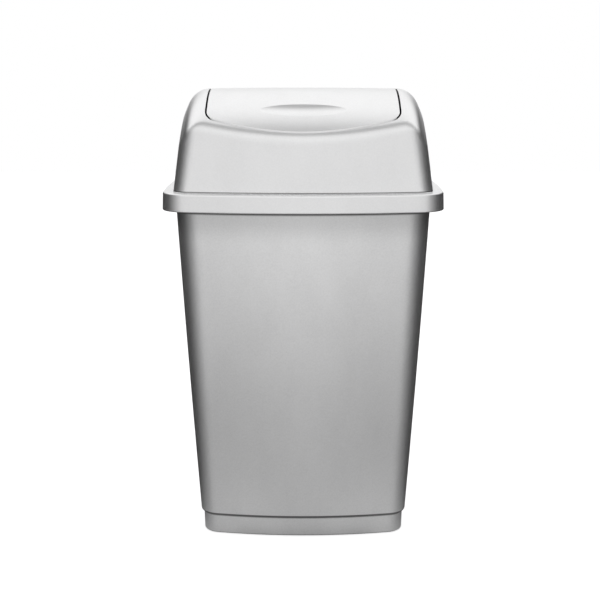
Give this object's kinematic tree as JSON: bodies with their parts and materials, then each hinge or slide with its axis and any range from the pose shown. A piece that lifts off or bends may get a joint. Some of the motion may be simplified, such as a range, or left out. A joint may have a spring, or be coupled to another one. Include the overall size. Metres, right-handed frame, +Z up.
{
  "type": "swing-lid trash can",
  "caption": "Tall tapering kitchen bin with a stepped plinth and a lift-off hood, whose arched flap swings on a left-right axis and falls shut by its own weight.",
  "frame": {"origin": "middle of the tub's underside, on the floor", "axes": "+Z up, front (the side with the finger dish) towards -Y, +X to the right seen from the front"},
  "size_m": [0.4168, 0.3398, 0.6772],
  "materials": {
    "tub": "satin silver polypropylene with a fine metallic flake",
    "hood": "satin silver polypropylene with a fine metallic flake",
    "flap": "satin silver polypropylene with a fine metallic flake",
    "peg": "satin silver polypropylene with a fine metallic flake"
  },
  "bodies": {
    "tub": {"bin_body": "tub"},
    "hood": {"hood": "hood"},
    "flap": {"flap": "flap", "pivot_pin_left": "peg", "pivot_pin_right": "peg"}
  },
  "joints": [
    {"name": "hood_lift", "type": "slide", "parent": "tub", "child": "hood", "axis": [0, 0, 1], "range_m": [0, 0.25]},
    {"name": "flap_swing", "type": "hinge", "parent": "hood", "child": "flap", "pos_m": [0, 0, 0.6667], "axis": [1, 0, 0], "range_deg": [-80, 80]}
  ]
}
